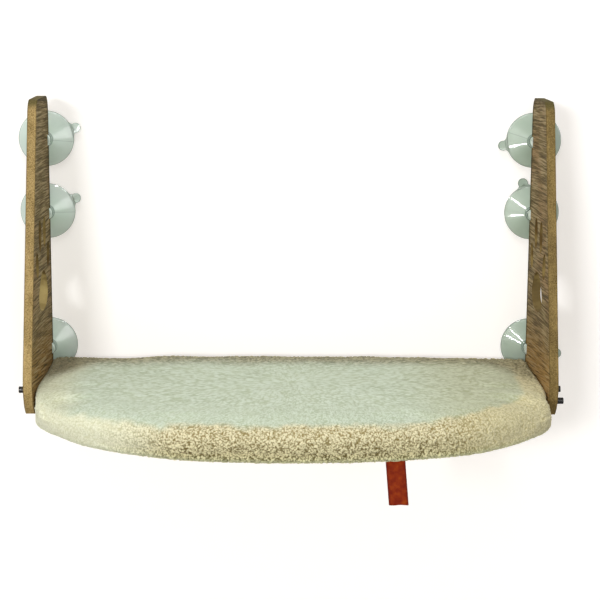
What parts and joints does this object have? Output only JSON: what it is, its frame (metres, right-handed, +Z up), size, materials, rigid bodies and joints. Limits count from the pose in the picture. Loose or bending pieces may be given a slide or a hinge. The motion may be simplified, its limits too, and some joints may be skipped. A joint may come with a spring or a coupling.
{
  "type": "window mounted cat perch",
  "caption": "Padded cat bed hung between two wooden side planks that are held to a window pane by swivelling suction cups.",
  "frame": {"origin": "on the window glass, midway between the two side planks and midway between the top and the bottom row of suction cups", "axes": "+X to the right along the bed, +Y from the room into the glass, +Z up"},
  "size_m": [0.6086, 0.3345, 0.373],
  "materials": {
    "plank_wood": "rough, torched face with pale plain edges",
    "clear_mint": "clear glossy soft PVC with a mint tint",
    "board_wood": "plain plywood",
    "foam": "open cell foam",
    "plush": "curly pile, cream and mint",
    "red_tape": "woven tape, red-orange",
    "black_steel": "black, half gloss"
  },
  "bodies": {
    "perch": {"side_plank_left": "plank_wood", "side_plank_right": "plank_wood", "bed_board": "board_wood", "cleat_left": "board_wood", "cleat_right": "board_wood", "foam_pad": "foam", "plush_cover": "plush", "fabric_label": "red_tape", "screw_left_front": "black_steel", "screw_left_rear": "black_steel", "screw_right_front": "black_steel", "screw_right_upper": "black_steel", "screw_right_rear": "black_steel", "washers_left": "black_steel", "washers_right": "black_steel"},
    "cup_left_top": {"cup_left_top": "clear_mint"},
    "cup_left_middle": {"cup_left_middle": "clear_mint"},
    "cup_left_bottom": {"cup_left_bottom": "clear_mint"},
    "cup_right_top": {"cup_right_top": "clear_mint"},
    "cup_right_middle": {"cup_right_middle": "clear_mint"},
    "cup_right_bottom": {"cup_right_bottom": "clear_mint"}
  },
  "joints": [
    {"name": "swivel_left_top", "type": "hinge", "parent": "perch", "child": "cup_left_top", "pos_m": [-0.26975, -0.02, 0.116], "axis": [0, 1, 0], "continuous": true},
    {"name": "swivel_left_middle", "type": "hinge", "parent": "perch", "child": "cup_left_middle", "pos_m": [-0.26975, -0.02, 0.0355], "axis": [0, 1, 0], "continuous": true},
    {"name": "swivel_left_bottom", "type": "hinge", "parent": "perch", "child": "cup_left_bottom", "pos_m": [-0.26975, -0.02, -0.116], "axis": [0, 1, 0], "continuous": true},
    {"name": "swivel_right_top", "type": "hinge", "parent": "perch", "child": "cup_right_top", "pos_m": [0.26975, -0.02, 0.116], "axis": [0, 1, 0], "continuous": true},
    {"name": "swivel_right_middle", "type": "hinge", "parent": "perch", "child": "cup_right_middle", "pos_m": [0.26975, -0.02, 0.0355], "axis": [0, 1, 0], "continuous": true},
    {"name": "swivel_right_bottom", "type": "hinge", "parent": "perch", "child": "cup_right_bottom", "pos_m": [0.26975, -0.02, -0.116], "axis": [0, 1, 0], "continuous": true}
  ]
}
